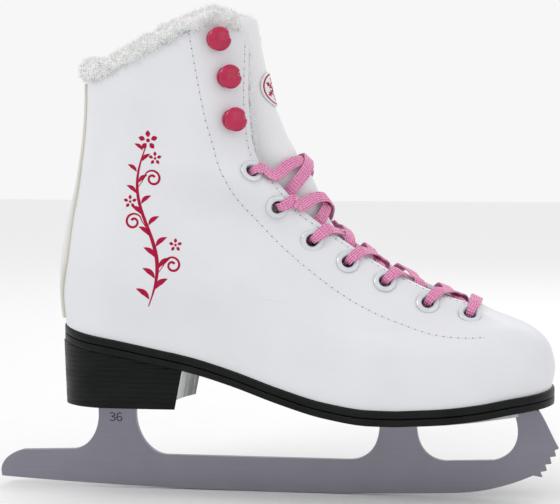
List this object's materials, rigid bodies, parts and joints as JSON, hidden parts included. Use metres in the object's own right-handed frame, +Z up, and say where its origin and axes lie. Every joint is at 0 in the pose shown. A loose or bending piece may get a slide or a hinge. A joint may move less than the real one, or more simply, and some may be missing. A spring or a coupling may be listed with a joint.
{
  "type": "figure ice skate",
  "caption": "Laced figure skate boot with fur collar, padded tongue, stacked heel and a screwed steel blade with toe picks.",
  "frame": {"origin": "under the middle of the skate, at the lowest point of the blade's edge", "axes": "+X towards the toe, +Y towards the inner side of the foot, +Z up from the ice"},
  "size_m": [0.291, 0.0878, 0.2476],
  "materials": {
    "upper_leather": "smooth white coated leather",
    "stay_leather": "smooth white leather strip",
    "piping": "cream corded piping",
    "tongue_leather": "padded white leather",
    "tongue_lining": "short white pile",
    "emblem": "raised crimson emblem",
    "lining": "short white pile",
    "fur": "long white imitation fur",
    "stiffener": "moulded fibre sheet",
    "board": "pressed fibre board",
    "sole": "black moulded sole",
    "heel": "black heel with fine level ribs",
    "blade_steel": "satin stainless steel",
    "plate_steel": "satin stainless steel",
    "screws": "zinc plated",
    "eyelets": "white lacquered rings",
    "hooks": "glossy crimson lacquer",
    "lace": "pink ribbed flat lace with silver flecks",
    "aglets": "clear pink film"
  },
  "bodies": {
    "boot": {"upper_body": "upper_leather", "back_stay": "stay_leather", "piping_lateral": "piping", "piping_medial": "piping", "tongue_lower": "tongue_leather", "tongue_lining_lower": "tongue_lining", "boot_lining": "lining", "footbed": "lining", "collar_fur": "fur", "heel_counter": "stiffener", "toe_puff": "stiffener", "eyestay": "stiffener", "insole_board": "board", "midsole": "sole", "outsole": "sole", "heel_block": "heel", "blade": "blade_steel", "toe_plate": "plate_steel", "heel_plate": "plate_steel", "shank": "plate_steel", "toe_plate_screw_1": "screws", "toe_plate_screw_2": "screws", "toe_plate_screw_3": "screws", "toe_plate_screw_4": "screws", "toe_plate_screw_5": "screws", "heel_plate_screw_1": "screws", "heel_plate_screw_2": "screws", "heel_plate_screw_3": "screws", "heel_plate_screw_4": "screws", "heel_plate_screw_5": "screws", "eyelet_lateral_1": "eyelets", "eyelet_lateral_2": "eyelets", "eyelet_lateral_3": "eyelets", "eyelet_lateral_4": "eyelets", "eyelet_lateral_5": "eyelets", "eyelet_lateral_6": "eyelets", "eyelet_lateral_7": "eyelets", "eyelet_medial_1": "eyelets", "eyelet_medial_2": "eyelets", "eyelet_medial_3": "eyelets", "eyelet_medial_4": "eyelets", "eyelet_medial_5": "eyelets", "eyelet_medial_6": "eyelets", "eyelet_medial_7": "eyelets", "hook_lateral_1": "hooks", "hook_lateral_2": "hooks", "hook_lateral_3": "hooks", "hook_medial_1": "hooks", "hook_medial_2": "hooks", "hook_medial_3": "hooks", "lace": "lace", "lace_end_lateral": "lace", "lace_end_medial": "lace", "aglet_lateral": "aglets", "aglet_medial": "aglets"},
    "tongue_top": {"tongue_upper": "tongue_leather", "tongue_lining_upper": "tongue_lining", "tongue_badge": "emblem"}
  },
  "joints": [
    {"name": "tongue_flex", "type": "hinge", "parent": "boot", "child": "tongue_top", "pos_m": [-0.0165, 0, 0.1712], "axis": [0, 1, 0], "range_deg": [-25, 0], "stiffness_Nm_per_rad": 0.2}
  ]
}
